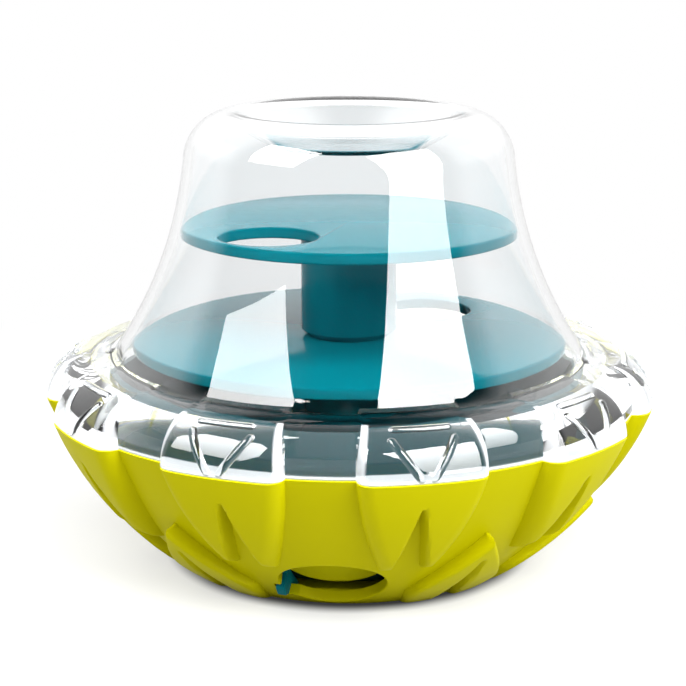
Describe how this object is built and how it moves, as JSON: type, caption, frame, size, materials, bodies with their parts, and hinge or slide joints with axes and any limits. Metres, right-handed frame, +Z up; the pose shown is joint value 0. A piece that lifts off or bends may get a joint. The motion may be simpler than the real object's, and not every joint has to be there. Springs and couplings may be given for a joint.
{
  "type": "treat puzzle toy",
  "caption": "Treat puzzle toy for dogs: a lobed weighted base with a gated outlet, turning discs with treat holes, and a clear bell dome with a lobed flange.",
  "frame": {"origin": "floor under the centre of the base", "axes": "+Z up along the axis that the tiers turn on, outlet towards -Y"},
  "size_m": [0.166, 0.1634, 0.122],
  "materials": {
    "lime_shell": "satin lime moulded plastic",
    "teal_plastic": "polished teal moulded plastic",
    "clear_plastic": "clear polished moulded plastic",
    "ballast_iron": "plain machined iron",
    "screw_steel": "zinc plated steel"
  },
  "bodies": {
    "base": {"base_shell": "lime_shell", "treat_tray": "teal_plastic", "ballast_ring": "ballast_iron", "base_screws": "screw_steel"},
    "gate": {"outlet_gate": "teal_plastic"},
    "lower_tier": {"lower_tier": "teal_plastic"},
    "upper_tier": {"upper_tier": "teal_plastic"},
    "dome": {"clear_dome": "clear_plastic"}
  },
  "joints": [
    {"name": "gate_slide", "type": "hinge", "parent": "base", "child": "gate", "pos_m": [0, 0, 0.0122], "axis": [0, 0, 1], "range_deg": [0, 22]},
    {"name": "lower_tier_turn", "type": "hinge", "parent": "base", "child": "lower_tier", "pos_m": [0, 0, 0.03], "axis": [0, 0, 1], "continuous": true},
    {"name": "upper_tier_turn", "type": "hinge", "parent": "lower_tier", "child": "upper_tier", "pos_m": [0, 0, 0.067], "axis": [0, 0, 1], "continuous": true},
    {"name": "dome_lift", "type": "slide", "parent": "base", "child": "dome", "axis": [0, 0, 1], "range_m": [0, 0.06]}
  ]
}
